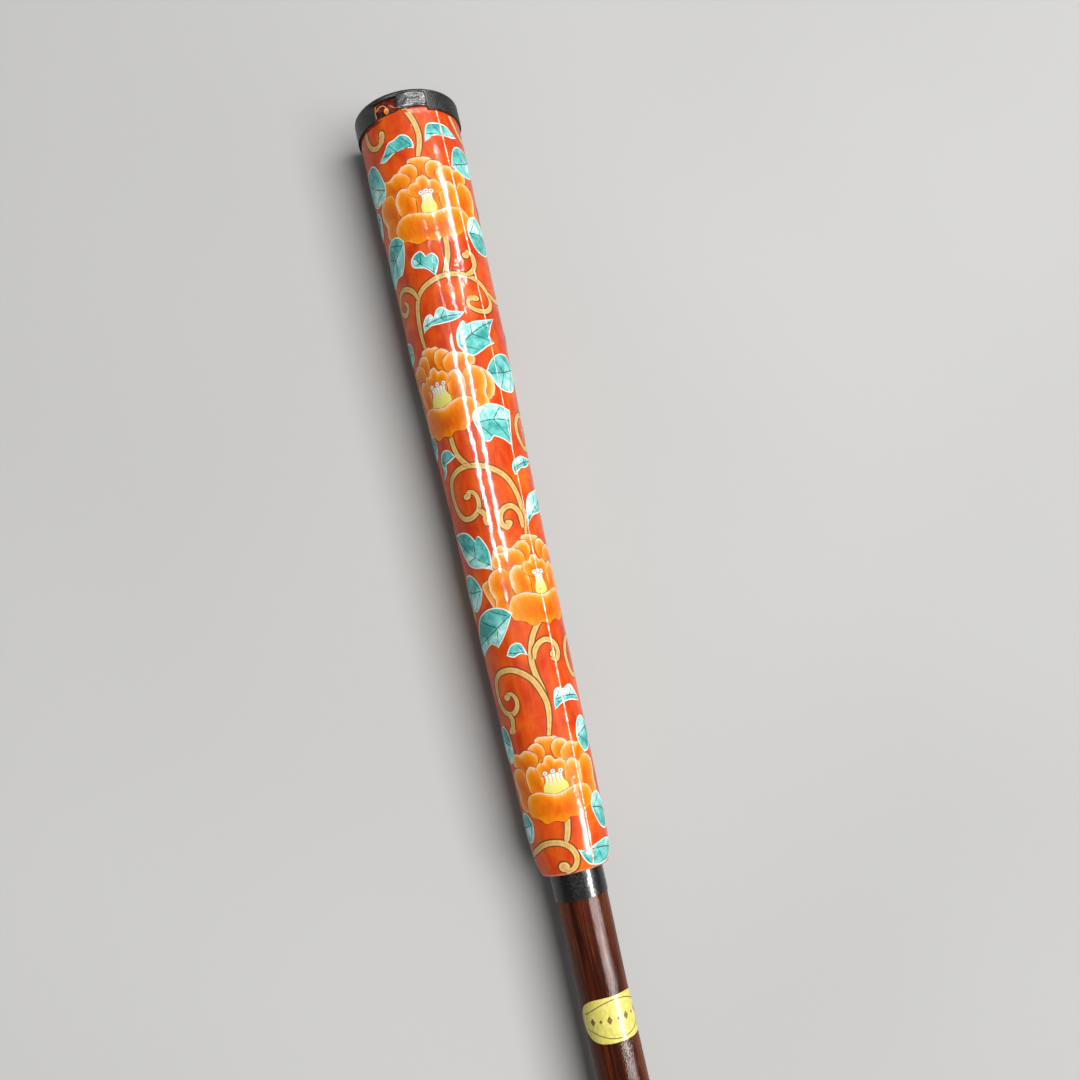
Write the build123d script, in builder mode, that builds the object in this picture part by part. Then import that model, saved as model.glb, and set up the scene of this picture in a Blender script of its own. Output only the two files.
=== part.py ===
"""Devil stick: a lacquered wooden rod with a flared, printed grip at each end.

The stick lies along X with +Z up. The origin is its balance point, on the rod's axis at mid-length.
Both ends are built alike: end b is end a turned half a turn about Z. Depths are measured along the
axis from an end's outer face towards the middle, and angles round the rod from +Z, positive towards
+Y at end a. Sizes are in millimetres and degrees.
"""

import math
import os

from build123d import *

# Driving dimensions
overall_length = 650.0
rod_radius = 7.6
rod_grip_radius = 7.95
rod_ease = 28.0
rod_chamfer = 0.6
sleeve_length = 241.0
cap_showing = 7.2

# End cap: a rubber cup stretched over the butt of the grip
cap_radius = 17.3
cap_floor = 1.8
cap_corner = 1.0
rib_pitch = 0.75
rib_groove_width = 0.35
rib_groove_depth = 0.25
ribs_from, ribs_to = 17.0, 236.0
window_from, window_to = -46.0, -18.0

# Tab: the glossy patch that closes the cap's wrapped edge
tab_from, tab_to = -18.0, 15.0
tab_height = 0.4
tab_notch = 1.0

# Printed sleeve: depth and outer radius along it, from the butt to the mouth of the grip
butt_radius = 16.5
flare = [
    (7.8, 16.6), (24, 16.5), (48, 15.9), (78, 15.6), (115, 14.4),
    (140, 13.85), (165, 13.5), (225, 12.4), (240, 11.95),
]
mouth_radius = 10.4
film_thickness = 0.5
seam_angle = 26.0
seam_spread = 2.6
seam_height = 0.12

# Under the grip, and at its mouth
tape_thickness = 0.3
collar_length = 12.0
collar_showing = 8.4

# Gold label on the rod, beside end a: an oval wrapped most of the way round
label_depth = 291.6
label_width = 12.8
label_reach = 8.6
label_thickness = 0.12
label_angle = 8.0

sleeve_edge = cap_showing
mouth = sleeve_edge + sleeve_length
collar_end = mouth + collar_showing
collar_start = collar_end - collar_length
bore_radius = rod_grip_radius + tape_thickness


class End:
    """One end of the stick: its name and the planes that its pieces are drawn on."""

    def __init__(self, name, side):
        self.name = name
        self.side = side
        face = (side * overall_length / 2, 0, 0)
        # Profile plane: x is the depth from the end face, y is the distance from the rod's axis
        self.profile = Plane(origin=face, x_dir=(-side, 0, 0), z_dir=(0, side, 0))
        # Face plane: x is up and z points outwards, so that its angles are the angles round the rod
        self.face = Plane(origin=face, x_dir=(0, 0, 1), z_dir=(side, 0, 0))
        self.axis = Axis(face, (side, 0, 0))


def save(built, name):
    """Label a finished piece and write its STEP file."""
    built.part.label = name
    export_step(built.part, f"parts/{name}.step")


def turned(end, degrees):
    """The end's profile plane turned round the rod to an angle measured from straight up."""
    return end.profile.rotated((end.side * degrees, 0, 0))


def sleeve_line(offset):
    """Draw the sleeve's outer line from butt to mouth, inside the surface by the given offset."""
    points = [(depth, radius - offset) for depth, radius in flare]
    Polyline((cap_floor, butt_radius - offset), (sleeve_edge, butt_radius - offset), points[0])
    body = Spline(*points)
    TangentArc(body @ 1, (mouth, mouth_radius - offset), tangent=body % 1)


def sleeve_section(inner, outer):
    """Closed section between two lines that run along the sleeve, as offsets inside its surface."""
    with BuildLine() as outline:
        sleeve_line(outer)
        sleeve_line(inner)
        for depth, radius in ((cap_floor, butt_radius), (mouth, mouth_radius)):
            Line((depth, radius - inner), (depth, radius - outer))
    return outline.line


def make_rod():
    """The wooden core: it runs from cap to cap, and is a little thinner between the grips."""
    reach = overall_length / 2 - cap_floor
    shoulder = overall_length / 2 - collar_end
    with BuildPart() as rod:
        with BuildSketch(Plane.XZ):
            with BuildLine():
                waist = Polyline((0, 0), (0, rod_radius), (shoulder - rod_ease, rod_radius))
                ease = Spline(waist @ 1, (shoulder, rod_grip_radius), tangents=[(1, 0), (1, 0)])
                end_edge = (reach, rod_grip_radius - rod_chamfer)
                Polyline(ease @ 1, (reach - rod_chamfer, rod_grip_radius), end_edge, (reach, 0), (0, 0))
            make_face()
            mirror(about=Plane.YZ)
        revolve(axis=Axis.X)
    save(rod, "rod")


def make_label():
    """The gold label: a thin oval shell on the rod, widest at label_angle."""
    middle = Plane(origin=(label_depth - overall_length / 2, 0, 0), x_dir=(0, 1, 0), z_dir=(1, 0, 0))
    across = Plane(origin=middle.origin, x_dir=(1, 0, 0), z_dir=(0, -1, 0)).rotated((-label_angle, 0, 0))
    with BuildPart() as label:
        with BuildSketch(middle):
            Circle(rod_radius + label_thickness)
            Circle(rod_radius, mode=Mode.SUBTRACT)
        extrude(amount=label_width, both=True)
        with BuildSketch(across):
            with Locations((0, rod_radius)):
                Ellipse(label_width / 2, label_reach)
        extrude(amount=2 * rod_radius, both=True, mode=Mode.INTERSECT)
    save(label, "label_band")


def make_tape(end):
    """Double-sided tape wound on the rod to hold the grip."""
    with BuildPart() as tape:
        with BuildSketch(end.profile):
            with Locations((cap_floor, rod_grip_radius)):
                Rectangle(collar_start - cap_floor, tape_thickness, align=Align.MIN)
        revolve(axis=end.axis)
    save(tape, f"grip_tape_{end.name}")


def make_core(end):
    """The rubber grip under the printed sleeve, bored for the rod and its tape."""
    with BuildPart() as core:
        with BuildSketch(end.profile):
            with BuildLine():
                sleeve_line(film_thickness)
                Polyline(
                    (mouth, mouth_radius - film_thickness),
                    (mouth, bore_radius),
                    (cap_floor, bore_radius),
                    (cap_floor, butt_radius - film_thickness),
                )
            make_face()
        revolve(axis=end.axis)
    save(core, f"grip_core_{end.name}")


def make_sleeve(end):
    """The printed film round the grip, open along the seam."""
    with BuildPart() as sleeve:
        with BuildSketch(turned(end, seam_angle + seam_spread / 2)):
            with BuildLine():
                add(sleeve_section(film_thickness, 0))
            make_face()
        revolve(axis=end.axis, revolution_arc=360 - seam_spread)
    save(sleeve, f"printed_sleeve_{end.name}")


def make_seam(end):
    """The bead that fills the film's butt joint and stands just proud of it."""
    with BuildPart() as seam:
        with BuildSketch(turned(end, seam_angle - seam_spread / 2)):
            with BuildLine():
                add(sleeve_section(film_thickness, -seam_height))
            make_face()
        revolve(axis=end.axis, revolution_arc=seam_spread)
        split(bisect_by=end.face.offset(-sleeve_edge), keep=Keep.BOTTOM)
    save(seam, f"sleeve_seam_{end.name}")


def make_collar(end):
    """The black collar on the rod, which starts where the tape stops and comes out of the grip's mouth."""
    with BuildPart() as collar:
        with BuildSketch(end.profile):
            with Locations((collar_start, rod_grip_radius)):
                Rectangle(collar_length, tape_thickness, align=Align.MIN)
        revolve(axis=end.axis)
    save(collar, f"tip_collar_{end.name}")


def make_cap(end):
    """The rubber end cap: a cup over the sleeve's edge, ribbed for part of the way round."""
    ribs = round(math.radians(ribs_to - ribs_from) * cap_radius / rib_pitch)
    with BuildPart() as cap:
        with BuildSketch(end.face):
            Circle(cap_radius)
        extrude(amount=-sleeve_edge)
        with BuildSketch(end.face.offset(-cap_floor)):
            Circle(butt_radius)
        extrude(amount=cap_floor - sleeve_edge, mode=Mode.SUBTRACT)
        outer_edge = cap.edges().filter_by(GeomType.CIRCLE).group_by(SortBy.RADIUS)[-1].sort_by(end.axis)
        fillet(outer_edge[-1], cap_corner)
        for cut_from, cut_to, depth in (
            (window_from, window_to, cap_floor),
            (tab_from, tab_to, sleeve_edge - tab_notch),
        ):
            with BuildSketch(turned(end, cut_from)):
                with Locations((depth, butt_radius)):
                    Rectangle(cap_showing, cap_radius, align=Align.MIN)
            revolve(axis=end.axis, revolution_arc=cut_to - cut_from, mode=Mode.SUBTRACT)
        with BuildSketch(end.face.offset(-cap_corner)):
            with PolarLocations(cap_radius, ribs + 1, ribs_from, ribs_to - ribs_from, endpoint=True):
                Rectangle(2 * rib_groove_depth, rib_groove_width)
        extrude(amount=cap_corner - sleeve_edge, mode=Mode.SUBTRACT)
    save(cap, f"end_cap_{end.name}")


def make_tab(end):
    """The glossy tab bonded to the outside of the cap, between its window and its ribs."""
    with BuildPart() as tab:
        with BuildSketch(turned(end, tab_from)):
            with Locations((cap_corner, cap_radius)):
                Rectangle(cap_showing - tab_notch - cap_corner, tab_height, align=Align.MIN)
        revolve(axis=end.axis, revolution_arc=tab_to - tab_from)
    save(tab, f"cap_tab_{end.name}")


os.makedirs("parts", exist_ok=True)
for end in (End("a", -1), End("b", 1)):
    make_cap(end)
    make_tab(end)
    make_core(end)
    make_tape(end)
    make_sleeve(end)
    make_seam(end)
    make_collar(end)
make_rod()
make_label()
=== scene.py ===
"""Looks of the devil stick: a lacquered wooden rod with a flared, floral printed grip at each end.

Sizes are in millimetres and turned into metres where a mesh is made. The frame is the CAD one: the stick
lies along X with +Z up, end a at -X. A place on a grip is (angle, reach): the angle round the rod in
degrees from straight up, positive towards +Y at end a, and the distance in mm along the axis from the
grip's printed rim towards the middle. End b is end a turned half a turn about Z.
"""

import math

import bpy
import numpy as np
from mathutils import Matrix, Vector


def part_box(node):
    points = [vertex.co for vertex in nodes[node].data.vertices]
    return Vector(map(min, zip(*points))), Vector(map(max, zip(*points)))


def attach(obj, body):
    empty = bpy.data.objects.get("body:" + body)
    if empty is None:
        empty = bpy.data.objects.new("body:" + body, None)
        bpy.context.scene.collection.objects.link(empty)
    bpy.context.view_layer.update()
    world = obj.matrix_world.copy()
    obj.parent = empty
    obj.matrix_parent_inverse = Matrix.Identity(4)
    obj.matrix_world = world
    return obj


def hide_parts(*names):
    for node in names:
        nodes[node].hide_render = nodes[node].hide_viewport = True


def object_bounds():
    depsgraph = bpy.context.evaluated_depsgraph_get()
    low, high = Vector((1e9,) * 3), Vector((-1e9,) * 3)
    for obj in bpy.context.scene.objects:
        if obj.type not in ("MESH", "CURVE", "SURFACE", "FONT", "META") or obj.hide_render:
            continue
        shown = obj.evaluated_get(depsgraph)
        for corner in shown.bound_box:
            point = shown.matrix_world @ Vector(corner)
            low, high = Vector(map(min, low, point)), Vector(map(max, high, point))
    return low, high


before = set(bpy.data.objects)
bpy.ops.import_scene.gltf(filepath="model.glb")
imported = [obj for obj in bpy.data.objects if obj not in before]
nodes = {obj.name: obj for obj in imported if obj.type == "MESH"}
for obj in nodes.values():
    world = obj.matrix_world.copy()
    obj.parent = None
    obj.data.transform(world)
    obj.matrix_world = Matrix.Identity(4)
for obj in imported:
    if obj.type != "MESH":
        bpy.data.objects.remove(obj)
cad_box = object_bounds()

MM = 0.001
HALF_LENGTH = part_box("end_cap_b")[1].x / MM
RIM_DEPTH = 6.2
FLOOR_Z = cad_box[0][2]
ENDS = {"a": 1, "b": -1}

# The grip's outer line: depth from the end face, radius
GRIP_LINE = [
    (1.8, 16.5), (7.2, 16.5), (7.9, 16.6), (24, 16.5), (48, 15.9), (78, 15.6), (115, 14.4), (140, 13.85),
    (165, 13.5), (225, 12.4), (240, 11.95), (242, 11.79), (244.1, 11.51), (246.2, 11.05), (248.2, 10.4),
]


# ---------------------------------------------------------------- curves

def slopes_of(x, y):
    """Slopes of a smooth line through points that never overshoots them."""
    step, rise = np.diff(x), np.diff(y)
    grade = rise / step
    inner = np.zeros(len(x))
    for i in range(1, len(x) - 1):
        if grade[i - 1] * grade[i] > 0:
            w1, w2 = 2 * step[i] + step[i - 1], step[i] + 2 * step[i - 1]
            inner[i] = (w1 + w2) / (w1 / grade[i - 1] + w2 / grade[i])
    inner[0], inner[-1] = grade[0], grade[-1]
    return inner


def smooth_line(points):
    """Dense samples of a smooth line through (x, y) points whose x rises."""
    per_step = 24
    x, y = np.array(points, float).T
    m = slopes_of(x, y)
    xs, ys = [], []
    for i in range(len(x) - 1):
        t = np.linspace(0, 1, per_step, endpoint=False)
        h = x[i + 1] - x[i]
        xs.append(x[i] + t * h)
        ys.append((2 * t**3 - 3 * t**2 + 1) * y[i] + (t**3 - 2 * t**2 + t) * h * m[i]
                  + (3 * t**2 - 2 * t**3) * y[i + 1] + (t**3 - t**2) * h * m[i + 1])
    xs.append([x[-1]])
    ys.append([y[-1]])
    return np.concatenate(xs), np.concatenate(ys)


GRIP_X, GRIP_R = smooth_line(GRIP_LINE)


def grip_radius(depth):
    """Outer radius of the printed grip at a depth from the end face."""
    return float(np.interp(depth, GRIP_X, GRIP_R))


def degree_mm(reach):
    """Millimetres of print per degree round the grip at a reach."""
    return math.radians(grip_radius(reach + RIM_DEPTH))


def through(points, closed=False, gap=0.8):
    """Even samples, about gap apart, of a smooth curve through points in any number of dimensions."""
    p = [np.array(q, float) for q in points]
    n = len(p)
    fine = []
    for i in range(n if closed else n - 1):
        if closed:
            a, b, c, d = (p[(i + k - 1) % n] for k in range(4))
        else:
            b, c = p[i], p[i + 1]
            a = p[i - 1] if i else 2 * b - c
            d = p[i + 2] if i + 2 < n else 2 * c - b
        for t in np.linspace(0, 1, 16, endpoint=False):
            fine.append(0.5 * (2 * b + (c - a) * t + (2 * a - 5 * b + 4 * c - d) * t**2
                               + (3 * b - 3 * c + d - a) * t**3))
    fine.append(p[0] if closed else p[-1])
    fine = np.array(fine)
    far = np.concatenate([[0], np.cumsum(np.linalg.norm(np.diff(fine, axis=0), axis=1))])
    count = max(4, int(round(far[-1] / gap)))
    even = np.linspace(0, far[-1], count + 1)
    out = np.stack([np.interp(even, far, fine[:, k]) for k in range(fine.shape[1])], 1)
    return out[:-1] if closed else out


# ---------------------------------------------------------------- meshes

def grip_point(end, angle, reach, lift=0.0):
    """A point on the grip's surface, lifted off it, in metres."""
    depth = reach + RIM_DEPTH
    radius = grip_radius(depth) + lift
    a = math.radians(angle)
    x, y, z = depth - HALF_LENGTH, radius * math.sin(a), radius * math.cos(a)
    side = ENDS[end]
    return (side * x * MM, side * y * MM, z * MM)


def make_object(name, verts, faces, material):
    mesh = bpy.data.meshes.new(name)
    mesh.from_pydata(verts, [], faces)
    mesh.validate()
    mesh.polygons.foreach_set("use_smooth", [True] * len(mesh.polygons))
    mesh.materials.append(material)
    mesh.update()
    obj = bpy.data.objects.new(name, mesh)
    bpy.context.scene.collection.objects.link(obj)
    return obj


def outward(verts, faces):
    """The faces, each turned so that it faces away from the rod's axis."""
    v = np.array(verts)
    out = []
    for face in faces:
        a, b, c = (v[k] for k in face[:3])
        normal = np.cross(b - a, c - a)
        out.append(face if normal[1] * a[1] + normal[2] * a[2] >= 0 else tuple(reversed(face)))
    return out


def ring_faces(rows, n):
    """Quads that join each closed ring of n points to the next."""
    faces = []
    for i in range(rows - 1):
        first, after = i * n, (i + 1) * n
        faces += [(first + k, first + (k + 1) % n, after + (k + 1) % n, after + k) for k in range(n)]
    return faces


def add_piece(obj, slot, *replaced):
    """Let a piece ride on the part's one body and hide the CAD nodes it stands for; its material slot is not
    used.
    """
    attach(obj, "root")
    if replaced:
        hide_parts(*replaced)
    return obj


def lathe(name, end, line, material):
    """A closed section (depth, radius) turned round the rod."""
    segments = 192
    angles = [360 * k / segments for k in range(segments)]
    side, n = ENDS[end], len(line)
    verts = [(side * (d - HALF_LENGTH) * MM, side * r * math.sin(math.radians(a)) * MM,
              r * math.cos(math.radians(a)) * MM) for a in angles for d, r in line]
    faces = []
    for i in range(segments):
        j = (i + 1) % segments
        faces += [(i * n + k, j * n + k, j * n + (k + 1) % n, i * n + (k + 1) % n) for k in range(n)]
    return make_object(name, verts, faces, material)


class Print:
    """A flat piece of the print: points as (angle, reach, lift) with four shading values at each."""

    def __init__(self):
        self.points, self.values, self.faces = [], [], []

    def sheet(self, rows, values, closed=False):
        """Join rows of points into a strip of quads. A closed sheet's rows are rings."""
        first, n = len(self.points), len(rows[0])
        for row, row_values in zip(rows, values):
            self.points += [tuple(q) for q in row]
            self.values += [tuple(v) for v in row_values]
        for i in range(len(rows) - 1):
            for k in range(n if closed else n - 1):
                a, b = first + i * n + k, first + i * n + (k + 1) % n
                self.faces.append((a, b, b + n, a + n))

    def lay(self, name, end, material, slot, turn=0.0, surface=grip_point):
        """Make the piece on an end's grip, or another surface, turned round the rod by some degrees."""
        verts = [surface(end, a + turn, u, lift) for a, u, lift in self.points]
        obj = make_object(name, verts, outward(verts, self.faces), material)
        data = np.array(self.values, np.float32)
        for k, key in enumerate(("tone", "inset", "along", "across")):
            layer = obj.data.attributes.new(key, "FLOAT", "POINT")
            layer.data.foreach_set("value", np.ascontiguousarray(data[:, k]))
        return add_piece(obj, slot)


# ---------------------------------------------------------------- materials

def linear(code):
    """An sRGB hex colour as linear RGBA."""
    parts = [int(code[i:i + 2], 16) / 255 for i in (1, 3, 5)]
    return tuple(c / 12.92 if c <= 0.04045 else ((c + 0.055) / 1.055) ** 2.4 for c in parts) + (1.0,)


class Graph:
    """A material's nodes, with short ways to add the ones used here."""

    def __init__(self, name, **sockets):
        self.material = bpy.data.materials.new(name)
        self.material.use_nodes = True
        self.tree = self.material.node_tree
        self.bsdf = self.tree.nodes["Principled BSDF"]
        for key, value in sockets.items():
            self.bsdf.inputs[key.replace("_", " ")].default_value = value

    def node(self, kind, inputs=None, **settings):
        node = self.tree.nodes.new(kind)
        for key, value in settings.items():
            setattr(node, key, value)
        for key, value in (inputs or {}).items():
            self.put(node.inputs[key], value)
        return node

    def put(self, socket, value):
        if isinstance(value, bpy.types.NodeSocket):
            self.tree.links.new(value, socket)
        else:
            socket.default_value = value

    def set(self, key, value):
        self.put(self.bsdf.inputs[key], value)

    def place(self, stretch=(1, 1, 1)):
        """Object coordinates in metres, scaled per axis."""
        coordinates = self.node("ShaderNodeTexCoord").outputs["Object"]
        return self.node("ShaderNodeMapping", {"Vector": coordinates, "Scale": stretch}).outputs[0]

    def noise(self, vector, scale, detail=2.0, roughness=0.5, distortion=0.0):
        return self.node("ShaderNodeTexNoise", {
            "Vector": vector, "Scale": scale, "Detail": detail,
            "Roughness": roughness, "Distortion": distortion,
        }).outputs["Fac"]

    def value(self, name):
        return self.node("ShaderNodeAttribute", attribute_name=name).outputs["Fac"]

    def math(self, operation, a, b=0.0, clamp=False):
        return self.node("ShaderNodeMath", {0: a, 1: b}, operation=operation, use_clamp=clamp).outputs[0]

    def span(self, value, low, high, to_low=0.0, to_high=1.0):
        """Map a value's range onto another, clamped."""
        node = self.node("ShaderNodeMapRange", {
            "Value": value, "From Min": low, "From Max": high, "To Min": to_low, "To Max": to_high,
        }, interpolation_type="SMOOTHSTEP")
        return node.outputs["Result"]

    def ramp(self, factor, stops):
        node = self.node("ShaderNodeValToRGB", {"Fac": factor})
        band = node.color_ramp
        while len(band.elements) < len(stops):
            band.elements.new(0.5)
        for element, (where, colour) in zip(band.elements, stops):
            element.position = where
            element.color = linear(colour)
        return node.outputs["Color"]

    def mix(self, factor, a, b):
        node = self.node("ShaderNodeMix", data_type="RGBA")
        self.put(node.inputs[0], factor)
        self.put(node.inputs[6], a)
        self.put(node.inputs[7], b)
        return node.outputs[2]

    def bump(self, height, strength, distance, normal=None):
        inputs = {"Height": height, "Strength": strength, "Distance": distance}
        if normal is not None:
            inputs["Normal"] = normal
        return self.node("ShaderNodeBump", inputs).outputs["Normal"]


FILM = {"Specular_IOR_Level": 0.06, "Coat_Weight": 0.35, "Coat_Roughness": 0.05}


def film_gloss(g):
    """The grip's clear, slightly wavy skin, the same on the ground and on every printed shape."""
    where = g.place()
    slow = g.noise(where, 85, 1.0)
    fine = g.noise(g.place((1, 1.6, 1.6)), 330, 3.0, 0.6)
    grain = g.noise(where, 2600, 2.0, 0.6)
    waves = g.bump(fine, 0.8, 0.00008, g.bump(slow, 0.8, 0.0004))
    g.set("Normal", waves)
    g.set("Coat Normal", g.bump(grain, 0.12, 0.00004, waves))
    g.set("Roughness", g.span(fine, 0.3, 0.7, 0.27, 0.38))


def film_ground():
    g = Graph("printed_film", **FILM)
    film_gloss(g)
    streaks = g.noise(g.place((60, 420, 420)), 1.0, 3.0, 0.55)
    patches = g.noise(g.place((1, 1.3, 1.3)), 95, 3.0, 0.55, 0.6)
    specks = g.noise(g.place(), 1500, 3.0, 0.7)
    red = g.ramp(patches, [(0.34, "#BC330A"), (0.48, "#CC430C"), (0.6, "#D8540E"), (0.74, "#E2680F")])
    red = g.mix(g.span(streaks, 0.45, 0.75, 0.0, 0.35), red, linear("#E07020"))
    red = g.mix(g.span(specks, 0.58, 0.70, 0.0, 0.3), red, linear("#8E1D0C"))
    across = g.node("ShaderNodeSeparateXYZ", {0: g.place()}).outputs[0]
    mouth = (HALF_LENGTH - GRIP_LINE[-1][0]) * MM
    lip = g.span(g.math("ABSOLUTE", across), mouth + 0.0007, mouth + 0.0001, 0.0, 0.7)
    g.set("Base Color", g.mix(lip, red, linear("#F0A088")))
    return g.material


def petal_ink():
    g = Graph("petal_ink", **FILM)
    film_gloss(g)
    streak = g.noise(g.place((260, 700, 700)), 1.0, 3.0, 0.6)
    tone = g.math("ADD", g.value("tone"), g.span(streak, 0.3, 0.7, -0.07, 0.07), clamp=True)
    fill = g.ramp(tone, [
        (0.0, "#D05A02"), (0.22, "#E27602"), (0.45, "#EC8C12"), (0.72, "#F2B272"), (1.0, "#F8DCC0"),
    ])
    worn = g.span(g.noise(g.place(), 420, 2.0), 0.34, 0.54, 0.4, 1.0)
    line = g.math("MULTIPLY", g.span(g.value("inset"), 0.12, 0.3, 1.0, 0.0), worn)
    g.set("Base Color", g.mix(line, fill, linear("#6A1E06")))
    return g.material


def stamen_ink():
    g = Graph("stamen_ink", **FILM)
    film_gloss(g)
    rays = g.math("PINGPONG", g.math("MULTIPLY", g.value("across"), 5.0), 1.0)
    top = g.span(g.value("along"), 0.45, 0.75)
    fill = g.ramp(g.value("along"), [
        (0.0, "#DCCC5C"), (0.45, "#DDD274"), (0.75, "#E0DAAE"), (1.0, "#E4E0D6"),
    ])
    dots = g.math("MULTIPLY", g.span(rays, 0.72, 0.95), top)
    fill = g.mix(g.math("MULTIPLY", dots, 0.7), fill, linear("#A86A2A"))
    line = g.span(g.value("inset"), 0.08, 0.26, 1.0, 0.0)
    g.set("Base Color", g.mix(g.math("MULTIPLY", line, 0.85), fill, linear("#6E3010")))
    return g.material


def leaf_ink():
    """Along and across are in mm here, from the foot of the middle rib and from the rib itself."""
    g = Graph("leaf_ink", **FILM)
    film_gloss(g)
    wash = g.noise(g.place(), 260, 3.0, 0.6)
    along, across, inset = g.value("along"), g.value("across"), g.value("inset")
    tone = g.math("ADD", g.value("tone"), g.span(wash, 0.35, 0.65, -0.3, 0.26), clamp=True)
    fill = g.ramp(tone, [
        (0.0, "#38958F"), (0.3, "#5CB6AE"), (0.55, "#80CAC2"), (0.8, "#A8DDD6"), (1.0, "#CCEDE8"),
    ])
    side = g.math("ABSOLUTE", across)
    place = g.math("MULTIPLY", g.math("SUBTRACT", along, g.math("MULTIPLY", side, 0.75)), 1 / 5.2)
    ribs = g.math("PINGPONG", place, 0.5)
    vein = g.math("MULTIPLY", g.span(ribs, 0.045, 0.02), g.span(inset, 0.5, 1.4))
    middle = g.math("MULTIPLY", g.span(side, 0.23, 0.13), g.span(inset, 0.3, 1.0))
    worn = g.span(g.noise(g.place(), 900, 1.0), 0.32, 0.46, 0.25, 1.0)
    dark = g.math("MULTIPLY", g.math("MAXIMUM", vein, middle), worn)
    fill = g.mix(g.math("MULTIPLY", dark, 0.92), fill, linear("#08393E"))
    inner = g.math("MULTIPLY", g.span(inset, 0.30, 0.40), g.span(inset, 0.62, 0.45))
    fill = g.mix(g.math("MULTIPLY", inner, 0.45), fill, linear("#0F5A5E"))
    g.set("Base Color", g.mix(g.span(inset, 0.46, 0.30), fill, linear("#E4EFE8")))
    return g.material


def vine_ink():
    g = Graph("vine_ink", **FILM)
    film_gloss(g)
    wash = g.noise(g.place(), 700, 2.0)
    fill = g.ramp(g.math("ADD", g.value("tone"), g.span(wash, 0.3, 0.7, -0.12, 0.12), clamp=True),
                  [(0.0, "#9A6426"), (0.45, "#BE8A42"), (0.75, "#D0A25A"), (1.0, "#DCB878")])
    side = g.math("ABSOLUTE", g.value("across"))
    from_streak = g.math("ABSOLUTE", g.math("SUBTRACT", g.value("across"), 0.42))
    pale = g.math("MULTIPLY", g.span(from_streak, 0.16, 0.04), 0.4)
    fill = g.mix(pale, fill, linear("#F0E2B4"))
    line = g.span(side, 0.60, 0.76)
    g.set("Base Color", g.mix(g.math("MULTIPLY", line, 0.92), fill, linear("#54280C")))
    return g.material


def seam_highlight_skin():
    g = Graph("seam_bead", **FILM)
    film_gloss(g)
    highlight_breaks = g.noise(g.place((900, 200, 200)), 1.0, 3.0, 0.6)
    # The whitish colour, broken by noise into dashes, is a painted highlight along the bead's ridge; the
    # orange low end is the ground's own colour.
    g.set("Base Color", g.ramp(highlight_breaks, [
        (0.33, "#DE7A4C"), (0.45, "#E8B498"), (0.55, "#F0DACC"), (0.8, "#F4ECE6"),
    ]))
    return g.material


def window_shade_ink():
    """The dark sheet under the window's print pieces: the print under the cap darkened to deep red and
    near-black teal as painted shade where the cap's window shows it, and a painted shadow below the cap's rim
    beside the window.
    """
    g = Graph("window_shade_ink", **FILM)
    film_gloss(g)
    mottle = g.noise(g.place(), 700, 3.0, 0.6)
    red = g.ramp(mottle, [(0.35, "#2A0C08"), (0.5, "#5A1C10"), (0.66, "#8A3418")])
    teal = g.ramp(mottle, [(0.35, "#0E1210"), (0.6, "#26332E")])
    g.set("Base Color", g.mix(g.span(g.value("tone"), 0.4, 0.6), red, teal))
    return g.material


def black_rubber():
    g = Graph("cap_rubber", Specular_IOR_Level=0.45)
    dust = g.noise(g.place(), 900, 4.0, 0.65)
    grain = g.noise(g.place(), 4200, 2.0, 0.6)
    scuffed = g.span(g.noise(g.place(), 170, 4.0, 0.7, 0.8), 0.5, 0.72, 0.0, 0.45)
    black = g.ramp(dust, [(0.3, "#0A0A0B"), (0.55, "#191718"), (0.75, "#383433")])
    g.set("Base Color", g.mix(scuffed, black, linear("#4A4542")))
    g.set("Roughness", g.math("ADD", g.span(dust, 0.3, 0.7, 0.3, 0.45), g.math("MULTIPLY", scuffed, 0.4)))
    g.set("Normal", g.bump(grain, 0.5, 0.00012, g.bump(dust, 0.4, 0.0003)))
    return g.material


def black_vinyl(name, rough, stops):
    g = Graph(name, Specular_IOR_Level=0.3, Coat_Weight=0.3, Coat_Roughness=0.1)
    slow = g.noise(g.place(), 300, 2.0)
    scuffs_and_sheen = g.noise(g.place(), 1500, 4.0, 0.7)
    # The noise spreads the stops' greys as scuffs; where a caller's stops are lighter than black, as the
    # tab's are, they are a painted sheen.
    g.set("Base Color", g.ramp(scuffs_and_sheen, stops))
    g.set("Roughness", g.span(scuffs_and_sheen, 0.35, 0.7, *rough))
    creases = g.bump(scuffs_and_sheen, 0.2, 0.00008, g.bump(slow, 0.5, 0.0003))
    g.set("Normal", creases)
    g.set("Coat Normal", creases)
    return g.material


def core_rubber():
    g = Graph("core_foam", Specular_IOR_Level=0.3)
    cells = g.node("ShaderNodeTexVoronoi", {"Vector": g.place(), "Scale": 2500.0}).outputs["Distance"]
    soft = g.noise(g.place(), 400, 3.0)
    g.set("Base Color", g.ramp(soft, [(0.3, "#161616"), (0.7, "#2B2A2A")]))
    g.set("Roughness", g.span(soft, 0.3, 0.7, 0.7, 0.9))
    g.set("Normal", g.bump(cells, 0.5, 0.0002))
    return g.material


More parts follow.
